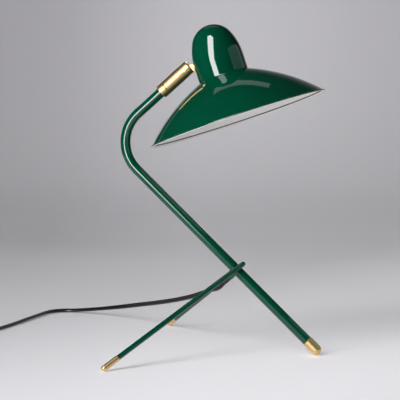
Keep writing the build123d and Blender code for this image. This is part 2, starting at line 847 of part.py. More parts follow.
# Bulb: screw cap and opal glass
base_tip = spigot_top - contact_height - seat_clearance
base_cone_top = base_tip - base_tip_height
base_top = base_cone_top - base_cone_length
base_bottom = base_top - base_length
with BuildPart() as bulb_base:
    with BuildSketch(shade_plane):
        with BuildLine():
            Polyline(
                (0, base_bottom),
                (base_diameter / 2, base_bottom),
                (base_diameter / 2, base_top),
                (base_cone_diameter / 2, base_cone_top),
                (base_tip_diameter / 2, base_cone_top),
                (base_tip_diameter / 2, base_tip),
                (0, base_tip),
                close=True,
            )
        make_face()
    revolve(axis=shade_axis)
write(bulb_base, "bulb_base")

bulb_radius = bulb_diameter / 2
bulb_centre = base_bottom - bulb_ball_drop
flare = math.radians(bulb_flare_angle)
neck_radius = bulb_neck_diameter / 2


def bulb_outline(wall):
    """Lines of the glass from the cap's edge to the tip, moved in by a wall."""
    ball = bulb_radius - wall
    neck = (neck_radius - wall, base_bottom - bulb_neck_length)
    shoulder = (ball * math.cos(flare), bulb_centre + ball * math.sin(flare))
    Line((neck_radius - wall, base_bottom), neck)
    SagittaArc(neck, shoulder, bulb_flare_sag)
    CenterArc((0, bulb_centre), ball, bulb_flare_angle, -bulb_flare_angle - 90)


with BuildPart() as bulb_glass:
    with BuildSketch(shade_plane):
        with BuildLine():
            bulb_outline(0)
            bulb_outline(bulb_wall)
            Line((neck_radius, base_bottom), (neck_radius - bulb_wall, base_bottom))
            Line((0, bulb_centre - bulb_radius), (0, bulb_centre - bulb_radius + bulb_wall))
        make_face()
    revolve(axis=shade_axis)
write(bulb_glass, "bulb_glass")


# Cord: straight runs joined by tangent arcs that are as large as the runs allow
cord_radius = cord_diameter / 2


def route_radii(points):
    """Arc radius at each inner point of a route."""
    radii = []
    for before, here, after in zip(points, points[1:], points[2:]):
        turn = math.radians((here - before).get_angle(after - here))
        shorter = min((here - before).length, (after - here).length)
        radii.append(arc_share * shorter / math.tan(turn / 2))
    return radii


def cord_tube(name, points):
    """Tube of the cord along a route, with its least radius and its volume against section times length."""
    radii = route_radii(points)
    with BuildPart() as tube:
        with BuildLine() as line:
            FilletPolyline(*points, radius=radii)
        with BuildSketch(Plane(origin=points[0], z_dir=points[1] - points[0])):
            Circle(cord_radius)
        sweep()
    length = line.wire().length
    ratio = tube.part.volume / (math.pi * cord_radius**2 * length)
    print(name, "length", round(length, 1), "volume ratio", round(ratio, 4))
    print(name, "radii", [round(radius, 1) for radius in radii])
    write(tube, name)
    return length


# Cord switch: two half shells and a rocker
switch_dir = Vector(math.cos(math.radians(switch_heading)), math.sin(math.radians(switch_heading)), 0)
switch_side = Vector(0, 0, 1).cross(switch_dir)
switch_middle = Vector(*switch_centre, switch_split_height)
switch_top = switch_split_height + switch_cover_height
switch_in = switch_middle - switch_dir * (switch_length / 2)
switch_out = switch_middle + switch_dir * (switch_length / 2)


def switch_level(height):
    """Plane along the switch at a height above the table."""
    return Plane(origin=(*switch_centre, height), x_dir=switch_dir, z_dir=(0, 0, 1))


def switch_outline():
    """Plan of the switch: a broad middle that narrows to a flat end at each cord."""
    Rectangle(switch_middle_length, switch_width)
    switch_end_middle = (switch_length - switch_end_length) / 2
    with Locations((switch_end_middle, 0), (-switch_end_middle, 0)):
        Rectangle(switch_end_length, switch_end_width)
    make_hull()


screw_points = [(-switch_screw_spacing / 2, 0), (switch_screw_spacing / 2, 0)]
screw_head_top = switch_screw_recess + switch_screw_head_height
with BuildPart() as switch_base:
    with BuildSketch(switch_level(switch_split_height)):
        switch_outline()
    extrude(amount=-switch_split_height)
    fillet(switch_base.edges().group_by(Axis.Z)[0], switch_edge_radius)
    with BuildSketch(switch_level(0)):
        with Locations(*screw_points):
            Circle(switch_screw_head_diameter / 2 + seat_clearance)
    extrude(amount=screw_head_top, mode=Mode.SUBTRACT)
    with BuildSketch(switch_level(0)):
        with Locations(*screw_points):
            Circle(switch_screw_diameter / 2 + press_clearance)
    extrude(amount=switch_split_height, mode=Mode.SUBTRACT)
write(switch_base, "switch_base")

rocker_pivot_height = switch_top - rocker_pivot_depth
pocket_floor = rocker_pivot_height - rocker_drop - rocker_floor_gap
pocket_length = rocker_length + 2 * rocker_end_gap
pocket_width = rocker_width + 2 * rocker_side_gap
bearing_length = pocket_width / 2 + rocker_pin_length
with BuildPart() as switch_cover:
    with BuildSketch(switch_level(switch_split_height)):
        switch_outline()
    extrude(amount=switch_cover_height)
    fillet(switch_cover.edges().group_by(Axis.Z)[-1], switch_edge_radius)
    with BuildSketch(switch_level(pocket_floor)):
        Rectangle(pocket_length, pocket_width)
    extrude(amount=switch_cover_height, mode=Mode.SUBTRACT)
    with BuildSketch(Plane(origin=(*switch_centre, rocker_pivot_height), z_dir=switch_side)):
        Circle(rocker_pin_diameter / 2 + running_clearance)
    extrude(amount=bearing_length, both=True, mode=Mode.SUBTRACT)
    with BuildSketch(switch_level(switch_split_height)):
        with Locations(*screw_points):
            Circle(switch_screw_diameter / 2 + press_clearance)
    extrude(amount=switch_screw_grip, mode=Mode.SUBTRACT)
write(switch_cover, "switch_cover")

rocker_plane = Plane(origin=(*switch_centre, rocker_pivot_height), x_dir=switch_dir, z_dir=-switch_side)
rocker_dir = switch_dir * math.cos(math.radians(rocker_angle))
rocker_dir += Vector(0, 0, math.sin(math.radians(rocker_angle)))
with BuildPart() as switch_rocker:
    with BuildSketch(Plane(origin=rocker_plane.origin, x_dir=rocker_dir, z_dir=-switch_side)):
        with BuildLine():
            Polyline(
                (-rocker_length / 2, -rocker_drop),
                (rocker_length / 2, -rocker_drop),
                (rocker_length / 2, rocker_rise),
                (0, rocker_valley),
                (-rocker_length / 2, rocker_rise),
                close=True,
            )
        make_face()
    extrude(amount=rocker_width / 2, both=True)
    with BuildSketch(rocker_plane):
        Circle(rocker_pin_diameter / 2)
    extrude(amount=bearing_length - running_clearance, both=True)
write(switch_rocker, "switch_rocker")

with BuildPart() as switch_screws:
    with BuildSketch(switch_level(switch_screw_recess)):
        with Locations(*screw_points):
            Circle(switch_screw_head_diameter / 2)
    extrude(amount=switch_screw_head_height)
    with BuildSketch(switch_level(screw_head_top)):
        with Locations(*screw_points):
            Circle(switch_screw_diameter / 2)
    extrude(amount=switch_split_height + switch_screw_grip - screw_head_top)
write(switch_screws, "switch_screws")


# Coil of the put-away length: spirals in on the table and out again on a second layer, clockwise
coil_pitch = cord_diameter + coil_gap
coil_low = cord_radius + tie_clearance + tie_thickness
coil_outer_radius = coil_inner_radius + coil_pitch * coil_turns_in
inward_angle = 2 * math.pi * coil_turns_in
coil_angle = inward_angle + math.pi + 2 * math.pi * coil_turns_out
coil_step = coil_pitch / (2 * math.pi)
difference_step = 1e-4


def coil_point(angle):
    """Point of the coil's centre line after turning by an angle."""
    climb = angle - inward_angle
    if climb <= 0:
        radius = coil_outer_radius - coil_step * angle
        height = coil_low
    elif climb <= math.pi:
        radius = coil_inner_radius - coil_step * (climb - climb**2 / math.pi)
        height = coil_low + coil_pitch * (1 - math.cos(climb)) / 2
    else:
        radius = coil_inner_radius + coil_step * (climb - math.pi)
        height = coil_low + coil_pitch
    azimuth = math.radians(coil_start_angle) - angle
    return Vector(
        coil_centre[0] + radius * math.cos(azimuth), coil_centre[1] + radius * math.sin(azimuth), height
    )


def coil_direction(angle):
    """Unit tangent of the coil's centre line."""
    return (coil_point(angle + difference_step) - coil_point(angle - difference_step)).normalized()


def biarc(start, start_dir, end, end_dir):
    """Two tangent arcs from one point and direction to another."""
    chord = end - start
    total = start_dir + end_dir
    spread = 4 - total.dot(total)
    reach = (math.sqrt(chord.dot(total) ** 2 + chord.dot(chord) * spread) - chord.dot(total)) / spread
    first = start + start_dir * reach
    second = end - end_dir * reach
    joint = (first + second) / 2
    TangentArc(start, joint, tangent=start_dir)
    TangentArc(joint, end, tangent=second - first)


knot_count = round(coil_angle / (2 * math.pi) * knots_per_turn)
knot_angles = [coil_angle * index / knot_count for index in range(knot_count + 1)]
coil_start = coil_point(0) - coil_direction(0) * cord_diameter
coil_end = coil_point(coil_angle) + coil_direction(coil_angle) * cord_diameter
with BuildPart() as cord_coil:
    with BuildLine() as coil_line:
        Line(coil_start, coil_point(0))
        for here, after in zip(knot_angles, knot_angles[1:]):
            biarc(coil_point(here), coil_direction(here), coil_point(after), coil_direction(after))
        Line(coil_point(coil_angle), coil_end)
    with BuildSketch(Plane(origin=coil_start, z_dir=coil_direction(0))):
        Circle(cord_radius)
    sweep()
coil_wire = coil_line.wire()
write(cord_coil, "cord_coil")

sample_count = 500
coil_samples = [tuple(coil_wire @ (index / sample_count)) for index in range(sample_count + 1)]
sample_skip = math.ceil(2 * cord_diameter * sample_count / coil_wire.length)
least_gap = min(
    math.dist(coil_samples[i], coil_samples[j]) - cord_diameter
    for i in range(len(coil_samples))
    for j in range(i + sample_skip, len(coil_samples))
)
coil_ratio = cord_coil.part.volume / (math.pi * cord_radius**2 * coil_wire.length)
print("coil length", round(coil_wire.length, 1), "volume ratio", round(coil_ratio, 4))
print("coil least gap", round(least_gap, 2))


# Tie round the coil's turns
tie_azimuth = math.radians(tie_angle)
tie_out = Vector(math.cos(tie_azimuth), math.sin(tie_azimuth), 0)
coil_width = coil_outer_radius - coil_inner_radius + coil_step * math.pi + cord_diameter
tie_inner_width = coil_width + 2 * tie_clearance
tie_inner_height = coil_pitch + cord_diameter + 2 * tie_clearance
tie_middle_radius = (coil_outer_radius + coil_inner_radius) / 2
tie_middle_height = coil_low + coil_pitch / 2
tie_origin = Vector(*coil_centre, tie_middle_height) + tie_out * tie_middle_radius
with BuildPart() as coil_tie:
    with BuildSketch(Plane(origin=tie_origin, x_dir=tie_out, z_dir=tie_out.cross(Vector(0, 0, 1)))):
        RectangleRounded(
            tie_inner_width + 2 * tie_thickness,
            tie_inner_height + 2 * tie_thickness,
            tie_corner_radius + tie_thickness,
        )
        RectangleRounded(tie_inner_width, tie_inner_height, tie_corner_radius, mode=Mode.SUBTRACT)
    extrude(amount=tie_width / 2, both=True)
write(coil_tie, "coil_tie")


# Flat two-pin plug, lying beside the coil and pointing along +Y
plug_middle_height = plug_thickness / 2
plug_dir = Vector(0, 1, 0)
plug_rear_point = Vector(plug_centre_line, plug_rear, plug_middle_height)
plug_body_rear = plug_rear_point + plug_dir * plug_relief_length
plug_front = plug_body_rear + plug_dir * plug_length
plug_shoulder = plug_length * plug_shoulder_share
with BuildPart() as plug_body:
    with BuildSketch(Plane(origin=plug_body_rear, x_dir=(1, 0, 0), z_dir=(0, 0, 1))) as plug_plan:
        with BuildLine():
            Polyline(
                (-plug_rear_width / 2, 0),
                (plug_rear_width / 2, 0),
                (plug_width / 2, plug_shoulder),
                (plug_width / 2, plug_length),
                (-plug_width / 2, plug_length),
                (-plug_width / 2, plug_shoulder),
                close=True,
            )
        make_face()
        fillet(plug_plan.vertices(), plug_corner_radius)
    extrude(amount=plug_middle_height, both=True)
    fillet(plug_body.faces().sort_by(Axis.Z)[0].edges(), plug_edge_radius)
    fillet(plug_body.faces().sort_by(Axis.Z)[-1].edges(), plug_edge_radius)
    with BuildSketch(axial_plane(plug_rear_point, plug_dir)):
        with BuildLine():
            Polyline(
                (0, 0),
                (plug_relief_tip_diameter / 2, 0),
                (plug_relief_root_diameter / 2, plug_relief_length),
                (plug_relief_root_diameter / 2, plug_relief_length + plug_edge_radius),
                (0, plug_relief_length + plug_edge_radius),
                close=True,
            )
        make_face()
    revolve(axis=Axis(plug_rear_point, plug_dir))
write(plug_body, "plug_body")

with BuildPart() as plug_pins:
    with BuildSketch(Plane(origin=plug_front, x_dir=(1, 0, 0), z_dir=plug_dir)):
        with Locations((-plug_pin_spacing / 2, 0), (plug_pin_spacing / 2, 0)):
            Circle(plug_pin_diameter / 2)
    extrude(amount=plug_pin_length)
    fillet(plug_pins.edges().group_by(Axis.Y)[-1], plug_pin_diameter / 2 - seat_clearance * 2)
write(plug_pins, "plug_pins")


# Stretches of the cord
lead_points = [relief_tip, relief_tip + outlet_dir * cord_end_run]
lead_points += [Vector(*point) for point in lead_route]
lead_points += [switch_in - switch_dir * cord_end_run, switch_in]
link_points = [switch_out, switch_out + switch_dir * link_end_run]
link_points += [coil_start - coil_direction(0) * link_end_run, coil_start]
tail_points = [coil_end, coil_end + coil_direction(coil_angle) * link_end_run]
tail_points += [plug_rear_point - plug_dir * link_end_run, plug_rear_point]
cord_length = cord_tube("cord_lead", lead_points)
cord_length += cord_tube("cord_link", link_points)
cord_length += cord_tube("cord_tail", tail_points)
print("cord length in all", round(cord_length + coil_wire.length, 1))
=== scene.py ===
import math

import bmesh
import bpy
from mathutils import Matrix, Vector


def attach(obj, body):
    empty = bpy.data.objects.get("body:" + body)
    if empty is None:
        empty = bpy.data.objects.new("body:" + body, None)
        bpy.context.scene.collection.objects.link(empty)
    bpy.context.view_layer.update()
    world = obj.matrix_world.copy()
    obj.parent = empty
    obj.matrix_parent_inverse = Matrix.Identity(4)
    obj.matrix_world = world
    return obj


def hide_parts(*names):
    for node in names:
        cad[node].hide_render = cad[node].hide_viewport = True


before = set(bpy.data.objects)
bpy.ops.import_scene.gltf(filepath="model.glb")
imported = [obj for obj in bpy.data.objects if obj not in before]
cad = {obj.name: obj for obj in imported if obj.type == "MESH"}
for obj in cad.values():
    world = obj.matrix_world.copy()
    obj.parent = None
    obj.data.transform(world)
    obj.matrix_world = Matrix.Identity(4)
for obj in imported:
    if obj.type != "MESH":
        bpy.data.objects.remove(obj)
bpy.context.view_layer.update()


# Stand tube, hairpin leg and cord stub: bent steel tube and rod with a welded stub, degreased and
# sprayed with stoving enamel, then baked.
mm = 0.001


def linear(code):
    """Linear colour of an sRGB hex value."""
    parts = [int(code[i:i + 2], 16) / 255 for i in (1, 3, 5)]
    parts = [c / 12.92 if c <= 0.04045 else ((c + 0.055) / 1.055) ** 2.4 for c in parts]
    return (*parts, 1.0)


def add(material, kind, inputs, **settings):
    """A node with its settings, its inputs given as values or as sockets to link."""
    made = material.node_tree.nodes.new(kind)
    for key, value in settings.items():
        setattr(made, key, value)
    for key, value in inputs.items():
        if isinstance(value, bpy.types.NodeSocket):
            material.node_tree.links.new(value, made.inputs[key])
        else:
            made.inputs[key].default_value = value
    return made


def finish(name):
    """A new material with its shader and the output."""
    material = bpy.data.materials.new(name)
    material.use_nodes = True
    material.node_tree.nodes.clear()
    shader = add(material, "ShaderNodeBsdfPrincipled", {})
    add(material, "ShaderNodeOutputMaterial", {"Surface": shader.outputs["BSDF"]})
    return material, shader


def link(material, socket, target):
    """Join an output to an input that already exists."""
    material.node_tree.links.new(socket, target)


def dress(material, *nodes):
    """Give whole CAD nodes one finish."""
    for name in nodes:
        mesh = cad[name].data
        mesh.materials.clear()
        mesh.materials.append(material)


# Stoved gloss enamel: deep even green under a hard shine, with a trace of orange peel.
green_enamel, shader = finish("dark_green_stoved_enamel")
place = add(green_enamel, "ShaderNodeTexCoord", {}).outputs["Object"]
cloud = add(green_enamel, "ShaderNodeTexNoise", {"Vector": place, "Scale": 1 / (35 * mm), "Detail": 3.0})
tone = add(green_enamel, "ShaderNodeMix", {"Factor": cloud.outputs["Fac"]}, data_type="RGBA")
tone.inputs["A"].default_value = linear("#004731")
tone.inputs["B"].default_value = linear("#004F37")
link(green_enamel, tone.outputs["Result"], shader.inputs["Base Color"])
polish = add(
    green_enamel,
    "ShaderNodeMapRange",
    {"Value": cloud.outputs["Fac"], "To Min": 0.035, "To Max": 0.06},
)
link(green_enamel, polish.outputs["Result"], shader.inputs["Roughness"])
peel = add(green_enamel, "ShaderNodeTexNoise", {"Vector": place, "Scale": 1 / (2.2 * mm), "Detail": 1.0})
skin = add(
    green_enamel,
    "ShaderNodeBump",
    {"Height": peel.outputs["Fac"], "Strength": 0.05, "Distance": 0.05 * mm},
)
link(green_enamel, skin.outputs["Normal"], shader.inputs["Normal"])
shader.inputs["IOR"].default_value = 1.55
dress(green_enamel, "stand_tube", "hairpin_leg", "cord_boss")


# Feet: three caps with round ends, turned from brass bar, polished, and pressed on the ends of the
# tube and the rod. Their brass colour is painted lighter than the joint's, as light, and they are polished
# smoother.
# The default colours, used by the joint, pin, tongue and nipple, are the same brass painted darker, as
# shade.
def turned_brass(name, axis, smooth=0.36, rough=0.46, deep="#B69767", pale="#C1A67B"):
    """Polished brass with the faint rings that a lathe leaves square to its axis."""
    brass, shader = finish(name)
    place = add(brass, "ShaderNodeTexCoord", {}).outputs["Object"]
    along = add(brass, "ShaderNodeVectorMath", {0: place, 1: axis}, operation="DOT_PRODUCT")
    rings = add(
        brass,
        "ShaderNodeTexNoise",
        {"W": along.outputs["Value"], "Scale": 1 / (0.5 * mm), "Detail": 2.0},
        noise_dimensions="1D",
    )
    cloud = add(brass, "ShaderNodeTexNoise", {"Vector": place, "Scale": 1 / (9 * mm), "Detail": 4.0})
    tone = add(brass, "ShaderNodeMix", {"Factor": cloud.outputs["Fac"]}, data_type="RGBA")
    tone.inputs["A"].default_value = linear(deep)
    tone.inputs["B"].default_value = linear(pale)
    link(brass, tone.outputs["Result"], shader.inputs["Base Color"])
    polish = add(
        brass,
        "ShaderNodeMapRange",
        {"Value": rings.outputs["Fac"], "To Min": smooth, "To Max": rough},
    )
    link(brass, polish.outputs["Result"], shader.inputs["Roughness"])
    skin = add(
        brass,
        "ShaderNodeBump",
        {"Height": rings.outputs["Fac"], "Strength": 0.08, "Distance": 0.05 * mm},
    )
    link(brass, skin.outputs["Normal"], shader.inputs["Normal"])
    shader.inputs["Metallic"].default_value = 1.0
    return brass


lower_run = (-0.72176, 0.0, 0.69214)
front_leg = (0.64416, 0.70025, 0.30779)
back_leg = (0.64416, -0.70025, 0.30779)
for end, axis in (("main", lower_run), ("front", front_leg), ("back", back_leg)):
    foot_brass = turned_brass(f"turned_brass_{end}_foot", axis, 0.3, 0.4, "#DBB77E", "#E8C994")
    dress(foot_brass, f"foot_{end}")


# Swivel and tilt knuckle: brass collar and spindle on the tube's end, a slotted barrel that turns on
# them, and a tongue that swings on a cross pin between fibre washers.
upper_run = (0.752415, 0.0, 0.658689)
shade_across = (0.947210, 0.0, 0.320613)
dress(turned_brass("turned_brass_swivel", upper_run), "swivel_collar", "swivel_spindle", "barrel")
dress(turned_brass("turned_brass_pin", (0.0, 1.0, 0.0)), "pivot_pin", "retaining_screw")
dress(turned_brass("turned_brass_tongue", shade_across), "tongue", "stud_spacer", "stud_nut")

# Pressed fibre: dull brown, matted, no shine.
washer_fibre, shader = finish("pressed_fibre")
place = add(washer_fibre, "ShaderNodeTexCoord", {}).outputs["Object"]
mat = add(washer_fibre, "ShaderNodeTexNoise", {"Vector": place, "Scale": 1 / (0.6 * mm), "Detail": 4.0})
tone = add(washer_fibre, "ShaderNodeMix", {"Factor": mat.outputs["Fac"]}, data_type="RGBA")
tone.inputs["A"].default_value = linear("#4A3A2E")
tone.inputs["B"].default_value = linear("#66503E")
link(washer_fibre, tone.outputs["Result"], shader.inputs["Base Color"])
shader.inputs["Roughness"].default_value = 0.8
dress(washer_fibre, "friction_washers")


# Shade: spun aluminium shell with a rolled edge, hung on the tongue's stud. It is enamelled green
# outside and white inside, and the white goes round under the rolled edge.
shade_up = Vector((-0.320613, 0.0, 0.947210))
rim_centre = Vector((22.587, 0.0, 298.642)) * mm
rim_edge = 115.5 * mm
bead_reach = 1.1 * mm
painted_shadow_height = 1.8 * mm
painted_shadow_half = 0.7 * mm

# Stoved white enamel: warm white, half gloss, so that it spreads the light, with a painted shadow
# line in the crease where the rolled edge meets the wall.
white_enamel, shader = finish("white_stoved_enamel")
place = add(white_enamel, "ShaderNodeTexCoord", {}).outputs["Object"]
cloud = add(white_enamel, "ShaderNodeTexNoise", {"Vector": place, "Scale": 1 / (30 * mm), "Detail": 3.0})
tone = add(white_enamel, "ShaderNodeMix", {"Factor": cloud.outputs["Fac"]}, data_type="RGBA")
tone.inputs["A"].default_value = linear("#F6F5F2")
tone.inputs["B"].default_value = linear("#FBFAF8")
rise = add(white_enamel, "ShaderNodeVectorMath", {0: place, 1: tuple(shade_up)}, operation="DOT_PRODUCT")
# Painted shadow: a dark band a little above the rim, in the crease of the rolled edge.
painted_shadow_band = add(
    white_enamel,
    "ShaderNodeMath",
    {0: rise.outputs["Value"], 1: rim_centre.dot(shade_up) + painted_shadow_height, 2: painted_shadow_half},
    operation="COMPARE",
)
painted_shadow_mix = add(white_enamel, "ShaderNodeMix", {"Factor": painted_shadow_band.outputs["Value"]}, data_type="RGBA")
link(white_enamel, tone.outputs["Result"], painted_shadow_mix.inputs["A"])
painted_shadow_mix.inputs["B"].default_value = linear("#2E2D2B")
link(white_enamel, painted_shadow_mix.outputs["Result"], shader.inputs["Base Color"])
peel = add(white_enamel, "ShaderNodeTexNoise", {"Vector": place, "Scale": 1 / (2 * mm), "Detail": 1.0})
skin = add(
    white_enamel,
    "ShaderNodeBump",
    {"Height": peel.outputs["Fac"], "Strength": 0.1, "Distance": 0.05 * mm},
)
link(white_enamel, skin.outputs["Normal"], shader.inputs["Normal"])
shader.inputs["Roughness"].default_value = 0.35

# The rolled edge is white where it faces in or down, the rest of the shell where it faces in.
dress(green_enamel, "shade")
shade_mesh = cad["shade"].data
shade_mesh.materials.append(white_enamel)
for face in shade_mesh.polygons:
    spot = face.center - rim_centre
    height = spot.dot(shade_up)
    radial = spot - shade_up * height
    away = radial.normalized()
    if height < bead_reach and radial.length > rim_edge - bead_reach:
        white = face.normal.dot(away) < 0.3 or face.normal.dot(shade_up) < -0.5
    else:
        white = face.normal.dot(shade_up + away * 0.5) < 0
    if white:
        face.material_index = 1


# Lampholder on its bracket: moulded cap, body and contact carrier on a nipple with a lock nut, hung
# from the stud on a bent steel strip.
# Moulded black phenolic: near black, satin, with the fine grain of the mould.
holder_black, shader = finish("moulded_black_phenolic")
place = add(holder_black, "ShaderNodeTexCoord", {}).outputs["Object"]
grain = add(holder_black, "ShaderNodeTexNoise", {"Vector": place, "Scale": 1 / (0.8 * mm), "Detail": 3.0})
tone = add(holder_black, "ShaderNodeMix", {"Factor": grain.outputs["Fac"]}, data_type="RGBA")
tone.inputs["A"].default_value = linear("#1B1A1A")
tone.inputs["B"].default_value = linear("#252424")
link(holder_black, tone.outputs["Result"], shader.inputs["Base Color"])
skin = add(
    holder_black,
    "ShaderNodeBump",
    {"Height": grain.outputs["Fac"], "Strength": 0.15, "Distance": 0.05 * mm},
)
link(holder_black, skin.outputs["Normal"], shader.inputs["Normal"])
shader.inputs["Roughness"].default_value = 0.4
dress(holder_black, "lampholder_cap", "lampholder_body", "lampholder_insert")

# Zinc plated steel: pale grey metal with cloudy, slightly blue patches.
zinc_steel, shader = finish("zinc_plated_steel")
place = add(zinc_steel, "ShaderNodeTexCoord", {}).outputs["Object"]
cloud = add(zinc_steel, "ShaderNodeTexNoise", {"Vector": place, "Scale": 1 / (4 * mm), "Detail": 4.0})
tone = add(zinc_steel, "ShaderNodeMix", {"Factor": cloud.outputs["Fac"]}, data_type="RGBA")
tone.inputs["A"].default_value = linear("#AEB2B8")
tone.inputs["B"].default_value = linear("#C9CBCD")
link(zinc_steel, tone.outputs["Result"], shader.inputs["Base Color"])
polish = add(
    zinc_steel,
    "ShaderNodeMapRange",
    {"Value": cloud.outputs["Fac"], "To Min": 0.25, "To Max": 0.42},
)
link(zinc_steel, polish.outputs["Result"], shader.inputs["Roughness"])
shader.inputs["Metallic"].default_value = 1.0
dress(zinc_steel, "holder_bracket", "switch_screws")
dress(turned_brass("turned_brass_nipple", tuple(shade_up)), "holder_nipple", "nipple_nut", "centre_contact")


# Bulb: small round lamp with an opal glass, cemented into a rolled screw cap that is turned into the
# lampholder.
# Opal glass: milky white all through, with a smooth fired surface.
opal_glass, shader = finish("opal_glass")
place = add(opal_glass, "ShaderNodeTexCoord", {}).outputs["Object"]
milk = add(opal_glass, "ShaderNodeTexNoise", {"Vector": place, "Scale": 1 / (12 * mm), "Detail": 2.0})
tone = add(opal_glass, "ShaderNodeMix", {"Factor": milk.outputs["Fac"]}, data_type="RGBA")
tone.inputs["A"].default_value = linear("#F3F1EB")
tone.inputs["B"].default_value = linear("#FBFAF8")
link(opal_glass, tone.outputs["Result"], shader.inputs["Base Color"])
shader.inputs["Roughness"].default_value = 0.12
shader.inputs["IOR"].default_value = 1.5
dress(opal_glass, "bulb_glass")

# Rolled aluminium cap: bright metal, its thread shown as rings at the real pitch of 2.8 mm.
thread_pitch = 2.8 * mm
rolled_cap, shader = finish("rolled_aluminium_cap")
place = add(rolled_cap, "ShaderNodeTexCoord", {}).outputs["Object"]
along = add(rolled_cap, "ShaderNodeVectorMath", {0: place, 1: tuple(shade_up)}, operation="DOT_PRODUCT")
turns = add(
    rolled_cap,
    "ShaderNodeMath",
    {0: along.outputs["Value"], 1: 2 * math.pi / thread_pitch},
    operation="MULTIPLY",
)
thread = add(rolled_cap, "ShaderNodeMath", {0: turns.outputs["Value"]}, operation="SINE")
skin = add(
    rolled_cap,
    "ShaderNodeBump",
    {"Height": thread.outputs["Value"], "Strength": 0.8, "Distance": 0.3 * mm},
)
link(rolled_cap, skin.outputs["Normal"], shader.inputs["Normal"])
shader.inputs["Base Color"].default_value = linear("#D5D6D8")
shader.inputs["Metallic"].default_value = 1.0
shader.inputs["Roughness"].default_value = 0.3
dress(rolled_cap, "bulb_base")


# Cord: flat twin-core flex in black PVC, from the strain relief on the stub, along the table, through
# the switch and a tied coil, to the plug.
def curve_line(points, name):
    """Points along one NURBS spline, read from a curve with no bevel."""
    curve = bpy.data.curves.new(name, "CURVE")
    curve.dimensions = "3D"
    curve.resolution_u = 6
    spline = curve.splines.new("NURBS")
    spline.points.add(len(points) - 1)
    for slot, point in zip(spline.points, points):
        slot.co = (*(c * mm for c in point), 1.0)
    spline.order_u = 3
    spline.use_endpoint_u = True
    holder = bpy.data.objects.new(name, curve)
    bpy.context.scene.collection.objects.link(holder)
    mesh = bpy.data.meshes.new_from_object(holder.evaluated_get(bpy.context.evaluated_depsgraph_get()))
    line = [v.co.copy() for v in mesh.vertices]
    bpy.data.objects.remove(holder)
    bpy.data.curves.remove(curve)
    bpy.data.meshes.remove(mesh)
    return line


# Sizes and points of the route are in millimetres. Where the flex lies rolled to one side on the
# table, its middle is higher.
cord_width = 6.4
core_diameter = 3.8
floor_gap = 0.05
cord_rest = core_diameter / 2 + floor_gap
turned_rest = cord_rest + 0.75
strap_thickness = 0.8
relief_tip = Vector((2.434, 14.084, 86.885))
outlet = Vector((-0.611126, 0.469472, -0.637276))
relief_hold = 8
relief_straight = 15
switch_middle = Vector((-353.0, -42.5, 6.0))
switch_way = Vector((-0.139173, -0.990268, 0.0))
switch_end = 32
switch_entry = 49
switch_leave = 48
plug_rear = Vector((-446.0, -60.0, 6.85))
plug_straight = Vector((0, 16, 0))
plug_hold = Vector((0, 8, 0))
route = [
    tuple(relief_tip - outlet * relief_hold),
    tuple(relief_tip),
    tuple(relief_tip + outlet * relief_straight),
    (-22.0, 37.5, 72.4),
    (-48.0, 65.0, 59.6),
    (-79.0, 96.0, 48.2),
    (-114.0, 130.0, 37.4),
    (-150.0, 163.0, 27.8),
    (-186.0, 191.5, 18.6),
    (-222.0, 212.0, 11.0),
    (-258.0, 224.0, 5.2),
    (-281.0, 228.0, turned_rest),
    (-294.3, 225.4, turned_rest),
    (-305.4, 217.6, turned_rest),
    (-312.6, 206.0, turned_rest),
    (-316.4, 182.2, turned_rest),
    (-320.5, 150.0, turned_rest),
    (-325.5, 114.0, cord_rest),
    (-331.0, 78.0, cord_rest),
    (-338.2, 33.0, 2.4),
    tuple(switch_middle - switch_way * switch_entry),
    tuple(switch_middle - switch_way * switch_end),
    tuple(switch_middle + switch_way * switch_end),
    tuple(switch_middle + switch_way * switch_leave),
]
coil_middle = (-401.5, -128.0)
coil_inner = 24.0
coil_pitch = 6.5
coil_turns = 2.5
climb_turns = 0.5
layer_gap = 0.1
coil_low = strap_thickness + cord_rest
coil_high = coil_low + core_diameter + layer_gap
points_per_turn = 16
coil_outer = coil_inner + coil_pitch * coil_turns
for step in range(round(points_per_turn * (2 * coil_turns + climb_turns)) + 1):
    turned = step / points_per_turn
    climb = min(max((turned - coil_turns) / climb_turns, 0.0), 1.0)
    if turned <= coil_turns:
        radius = coil_outer - coil_pitch * turned
    else:
        radius = coil_inner + coil_pitch * max(turned - coil_turns - climb_turns, 0.0)
    height = coil_low + (coil_high - coil_low) * (1 - math.cos(math.pi * climb)) / 2
    azimuth = -2 * math.pi * turned
    route.append(
        (
            coil_middle[0] + radius * math.cos(azimuth),
            coil_middle[1] + radius * math.sin(azimuth),
            height,
        )
    )
route += [
    (-442.2, -110.0, coil_high),
    (-444.4, -92.0, 6.6),
    tuple(plug_rear - plug_straight),
    tuple(plug_rear),
    tuple(plug_rear + plug_hold),
]
cord_path = curve_line(route, "cord_route")

# Section of the flex: two round cores side by side with a groove between them.
core_offset = (cord_width - core_diameter) / 2
core_points = 13
core_arc = 250
section = []
for side in (1, -1):
    for index in range(core_points):
        swing = math.radians(-core_arc / 2 + core_arc * index / (core_points - 1))
        section.append(
            (
                side * (core_offset + core_diameter / 2 * math.cos(swing)) * mm,
                side * core_diameter / 2 * math.sin(swing) * mm,
            )
        )

